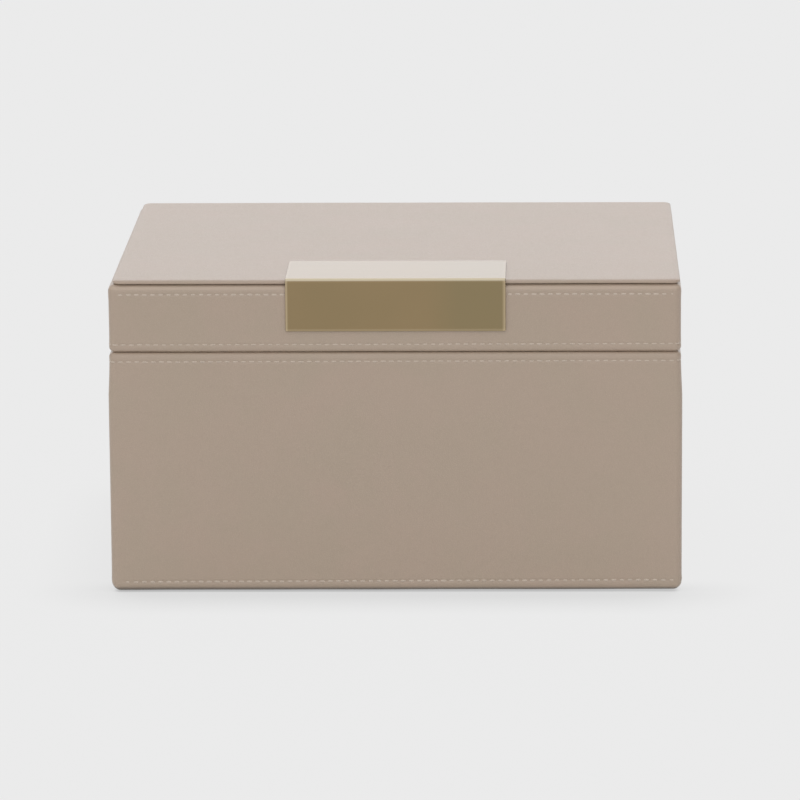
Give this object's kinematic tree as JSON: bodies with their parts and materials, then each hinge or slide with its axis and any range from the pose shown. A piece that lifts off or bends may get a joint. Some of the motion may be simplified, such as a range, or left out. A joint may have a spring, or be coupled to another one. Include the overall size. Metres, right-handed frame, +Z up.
{
  "type": "storage box",
  "caption": "Rectangular storage box of MDF boards covered in leather-effect sheet, with a lined inside, a hinged lid and an L-shaped brass pull plate.",
  "frame": {"origin": "middle of the box's footprint on the surface that it stands on, hinges and pull plate included", "axes": "+X to the right seen from the front, +Y to the back, +Z up; the pull plate faces -Y and the hinges +Y"},
  "size_m": [0.28, 0.2268, 0.158],
  "materials": {
    "leather_effect": "semi-gloss taupe PU sheet with a fine grain",
    "mdf": "raw MDF, hidden by the cover and the lining",
    "card": "grey board, hidden",
    "felt": "dark needle felt",
    "suede": "beige suede-effect lining cloth on card",
    "brass": "satin brass",
    "steel": "zinc-plated steel, hidden"
  },
  "bodies": {
    "base": {"base_front_board": "mdf", "base_back_board": "mdf", "base_left_board": "mdf", "base_right_board": "mdf", "base_bottom_board": "mdf", "base_cover": "leather_effect", "base_underside_pad": "felt", "base_lining_front": "suede", "base_lining_back": "suede", "base_lining_left": "suede", "base_lining_right": "suede", "base_lining_floor": "suede", "hinge_left_lower_leaf": "brass", "hinge_left_pin": "brass", "hinge_left_lower_screw_1": "brass", "hinge_left_lower_screw_2": "brass", "hinge_right_lower_leaf": "brass", "hinge_right_pin": "brass", "hinge_right_lower_screw_1": "brass", "hinge_right_lower_screw_2": "brass"},
    "lid": {"lid_front_board": "mdf", "lid_back_board": "mdf", "lid_left_board": "mdf", "lid_right_board": "mdf", "lid_top_board": "mdf", "lid_cover": "leather_effect", "lid_top_card": "card", "lid_top_cover": "leather_effect", "lid_lining_front": "suede", "lid_lining_back": "suede", "lid_lining_left": "suede", "lid_lining_right": "suede", "lid_lining_ceiling": "suede", "pull_plate": "brass", "pull_screw_left": "steel", "pull_screw_right": "steel", "hinge_left_upper_leaf": "brass", "hinge_left_upper_screw_1": "brass", "hinge_left_upper_screw_2": "brass", "hinge_right_upper_leaf": "brass", "hinge_right_upper_screw_1": "brass", "hinge_right_upper_screw_2": "brass"}
  },
  "joints": [
    {"name": "lid_hinge", "type": "hinge", "parent": "base", "child": "lid", "pos_m": [0, 0.11058, 0.12105], "axis": [-1, 0, 0], "range_deg": [0, 95]}
  ]
}
